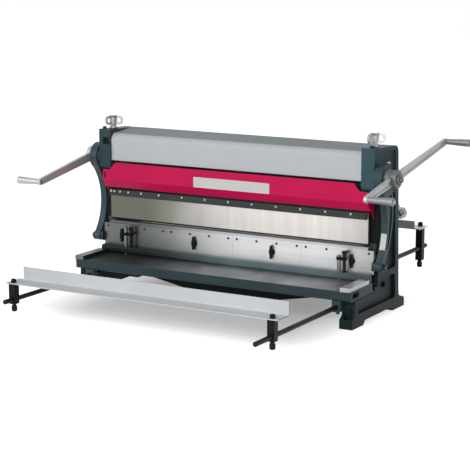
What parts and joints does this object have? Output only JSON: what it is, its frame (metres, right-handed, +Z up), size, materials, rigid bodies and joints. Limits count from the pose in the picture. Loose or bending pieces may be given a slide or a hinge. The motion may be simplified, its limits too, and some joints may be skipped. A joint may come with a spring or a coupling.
{
  "type": "slip roll machine",
  "caption": "Combined sheet-metal machine: slip rolls under a curved cover, bending beam and dies, shear table, hand cranks, and sliding front and rear gauges.",
  "frame": {"origin": "centre of the four foot bolt holes at the undersides of the feet", "axes": "+X along the rolls to the double crank, +Y from the operator to the back, +Z up"},
  "size_m": [1.3772, 1.259, 0.614],
  "materials": {
    "slate_paint": "satin",
    "black_paint": "satin",
    "black_steel": "satin",
    "guard_paint": "gloss",
    "cover_paint": "satin",
    "ground_steel": "ground",
    "turned_steel": "turned",
    "bright_screws": "polished",
    "plated_steel": "polished",
    "cast_knob": "cast",
    "gauge_steel": "satin",
    "bronze": "turned"
  },
  "bodies": {
    "base": {"right_frame": "slate_paint", "left_frame": "slate_paint", "tie_rods": "turned_steel", "cap_screws": "black_steel", "oilers": "bright_screws", "shaft_bushes": "bronze", "table": "slate_paint", "fixed_blade": "ground_steel", "lower_bed": "slate_paint", "table_guides": "ground_steel", "upper_crosshead": "slate_paint", "bending_dies": "ground_steel", "die_clamp_bar": "black_paint", "clamp_screws": "bright_screws", "guard": "guard_paint", "guard_screws": "bright_screws", "roll_cover": "cover_paint", "beam_guides": "turned_steel", "hold_down_posts": "ground_steel", "gauge_rods": "black_steel", "rod_brackets": "slate_paint"},
    "crankshaft": {"lower_roll": "ground_steel", "eccentrics": "turned_steel", "right_crank": "plated_steel", "left_crank": "plated_steel", "grip_pins": "turned_steel"},
    "right_long_grip": {"right_long_grip": "plated_steel"},
    "right_short_grip": {"right_short_grip": "plated_steel"},
    "left_grip": {"left_grip": "plated_steel"},
    "right_arm": {"right_connecting_arm": "slate_paint"},
    "left_arm": {"left_connecting_arm": "slate_paint"},
    "beam": {"beam": "slate_paint", "front_plates": "ground_steel", "plate_screws": "bright_screws", "v_dies": "ground_steel", "moving_blade": "ground_steel", "beam_pins": "turned_steel"},
    "wing_screw_1": {"wing_screw_1": "black_steel"},
    "wing_screw_2": {"wing_screw_2": "black_steel"},
    "wing_screw_3": {"wing_screw_3": "black_steel"},
    "wing_screw_4": {"wing_screw_4": "black_steel"},
    "upper_lift": {"upper_roll_blocks": "turned_steel"},
    "upper_roll": {"upper_roll": "ground_steel"},
    "left_top_knob": {"left_top_knob": "cast_knob"},
    "right_top_knob": {"right_top_knob": "cast_knob"},
    "rear_lift": {"rear_roll_blocks": "turned_steel"},
    "rear_roll": {"rear_roll": "ground_steel"},
    "left_rear_knob": {"left_rear_knob": "cast_knob"},
    "right_rear_knob": {"right_rear_knob": "cast_knob"},
    "hold_down": {"hold_down_bar": "slate_paint"},
    "left_tee_screw": {"left_tee_screw": "black_steel"},
    "right_tee_screw": {"right_tee_screw": "black_steel"},
    "front_gauge": {"front_gauge_bar": "gauge_steel", "front_gauge_posts": "black_paint"},
    "rear_gauge": {"rear_gauge_bar": "gauge_steel", "rear_gauge_posts": "black_paint"},
    "front_left_thumb": {"front_left_thumb_knob": "black_steel"},
    "front_right_thumb": {"front_right_thumb_knob": "black_steel"},
    "rear_left_thumb": {"rear_left_thumb_knob": "black_steel"},
    "rear_right_thumb": {"rear_right_thumb_knob": "black_steel"}
  },
  "joints": [
    {"name": "main_crank", "type": "hinge", "parent": "base", "child": "crankshaft", "pos_m": [0, -0.01, 0.47], "axis": [1, 0, 0], "range_deg": [-60, 60]},
    {"name": "beam_slide", "type": "slide", "parent": "base", "child": "beam", "axis": [0, 0, 1], "range_m": [-0.00867, 0.00867]},
    {"name": "right_arm_swing", "type": "hinge", "parent": "crankshaft", "child": "right_arm", "pos_m": [0.558, -0.02, 0.47], "axis": [1, 0, 0], "range_deg": [-60.5, 60.5]},
    {"name": "left_arm_swing", "type": "hinge", "parent": "crankshaft", "child": "left_arm", "pos_m": [-0.558, -0.02, 0.47], "axis": [1, 0, 0], "range_deg": [-60.5, 60.5]},
    {"name": "right_long_grip_spin", "type": "hinge", "parent": "crankshaft", "child": "right_long_grip", "pos_m": [0.64, 0.41544, 0.54502], "axis": [1, 0, 0], "continuous": true},
    {"name": "right_short_grip_spin", "type": "hinge", "parent": "crankshaft", "child": "right_short_grip", "pos_m": [0.64, -0.21878, 0.43319], "axis": [1, 0, 0], "continuous": true},
    {"name": "left_grip_spin", "type": "hinge", "parent": "crankshaft", "child": "left_grip", "pos_m": [-0.64, -0.33499, 0.4127], "axis": [1, 0, 0], "continuous": true},
    {"name": "wing_screw_1_turn", "type": "hinge", "parent": "beam", "child": "wing_screw_1", "pos_m": [-0.456, -0.034, 0.19], "axis": [0, 1, 0], "range_deg": [-90, 90]},
    {"name": "wing_screw_2_turn", "type": "hinge", "parent": "beam", "child": "wing_screw_2", "pos_m": [-0.15494, -0.034, 0.19], "axis": [0, 1, 0], "range_deg": [-90, 90]},
    {"name": "wing_screw_3_turn", "type": "hinge", "parent": "beam", "child": "wing_screw_3", "pos_m": [0.15494, -0.034, 0.19], "axis": [0, 1, 0], "range_deg": [-90, 90]},
    {"name": "wing_screw_4_turn", "type": "hinge", "parent": "beam", "child": "wing_screw_4", "pos_m": [0.456, -0.034, 0.19], "axis": [0, 1, 0], "range_deg": [-90, 90]},
    {"name": "left_top_knob_turn", "type": "hinge", "parent": "base", "child": "left_top_knob", "pos_m": [-0.515, 0.002, 0.57], "axis": [0, 0, -1], "range_deg": [0, 720.01]},
    {"name": "right_top_knob_turn", "type": "hinge", "parent": "base", "child": "right_top_knob", "pos_m": [0.515, 0.002, 0.57], "axis": [0, 0, -1], "range_deg": [0, 720.01]},
    {"name": "upper_roll_lift", "type": "slide", "parent": "base", "child": "upper_lift", "axis": [0, 0, 1], "range_m": [0, 0.004]},
    {"name": "upper_roll_spin", "type": "hinge", "parent": "upper_lift", "child": "upper_roll", "pos_m": [0, -0.01, 0.5214], "axis": [1, 0, 0], "range_deg": [-60.5, 60.5]},
    {"name": "left_rear_knob_turn", "type": "hinge", "parent": "base", "child": "left_rear_knob", "pos_m": [-0.515, 0.219, 0.321], "axis": [0, 0.7071, -0.7071], "range_deg": [-1800.01, 1440.01]},
    {"name": "right_rear_knob_turn", "type": "hinge", "parent": "base", "child": "right_rear_knob", "pos_m": [0.515, 0.219, 0.321], "axis": [0, 0.7071, -0.7071], "range_deg": [-1800.01, 1440.01]},
    {"name": "rear_roll_shift", "type": "slide", "parent": "base", "child": "rear_lift", "axis": [0, -0.7071, 0.7071], "range_m": [-0.01, 0.008]},
    {"name": "rear_roll_spin", "type": "hinge", "parent": "rear_lift", "child": "rear_roll", "pos_m": [0, 0.05, 0.49], "axis": [1, 0, 0], "continuous": true},
    {"name": "left_tee_screw_turn", "type": "hinge", "parent": "hold_down", "child": "left_tee_screw", "pos_m": [-0.408, -0.053, 0.16], "axis": [0, 0, 1], "range_deg": [0, 720.01]},
    {"name": "right_tee_screw_turn", "type": "hinge", "parent": "hold_down", "child": "right_tee_screw", "pos_m": [0.438, -0.053, 0.16], "axis": [0, 0, 1], "range_deg": [0, 720.01]},
    {"name": "hold_down_lift", "type": "slide", "parent": "base", "child": "hold_down", "axis": [0, 0, 1], "range_m": [0, 0.004]},
    {"name": "front_gauge_slide", "type": "slide", "parent": "base", "child": "front_gauge", "axis": [0, 1, 0], "range_m": [-0.035, 0.35]},
    {"name": "rear_gauge_slide", "type": "slide", "parent": "base", "child": "rear_gauge", "axis": [0, 1, 0], "range_m": [-0.2, 0.035]},
    {"name": "front_left_thumb_turn", "type": "hinge", "parent": "front_gauge", "child": "front_left_thumb", "pos_m": [-0.484, -0.632, 0.05], "axis": [0, 0, 1], "range_deg": [0, 360]},
    {"name": "front_right_thumb_turn", "type": "hinge", "parent": "front_gauge", "child": "front_right_thumb", "pos_m": [0.484, -0.632, 0.05], "axis": [0, 0, 1], "range_deg": [0, 360]},
    {"name": "rear_left_thumb_turn", "type": "hinge", "parent": "rear_gauge", "child": "rear_left_thumb", "pos_m": [-0.484, 0.468, 0.11], "axis": [0, 0, 1], "range_deg": [0, 360]},
    {"name": "rear_right_thumb_turn", "type": "hinge", "parent": "rear_gauge", "child": "rear_right_thumb", "pos_m": [0.484, 0.468, 0.11], "axis": [0, 0, 1], "range_deg": [0, 360]}
  ],
  "couplings": [
    {"joint": "beam_slide", "follows": "main_crank", "m_per_rad": -0.0082699},
    {"joint": "right_arm_swing", "follows": "main_crank", "ratio": -1},
    {"joint": "left_arm_swing", "follows": "main_crank", "ratio": -1},
    {"joint": "upper_roll_spin", "follows": "main_crank", "ratio": -1},
    {"joint": "left_top_knob_turn", "follows": "upper_roll_lift", "rad_per_m": 3141.6},
    {"joint": "right_top_knob_turn", "follows": "upper_roll_lift", "rad_per_m": 3141.6},
    {"joint": "left_rear_knob_turn", "follows": "rear_roll_shift", "rad_per_m": 3141.6},
    {"joint": "right_rear_knob_turn", "follows": "rear_roll_shift", "rad_per_m": 3141.6},
    {"joint": "left_tee_screw_turn", "follows": "hold_down_lift", "rad_per_m": 3141.6},
    {"joint": "right_tee_screw_turn", "follows": "hold_down_lift", "rad_per_m": 3141.6}
  ]
}
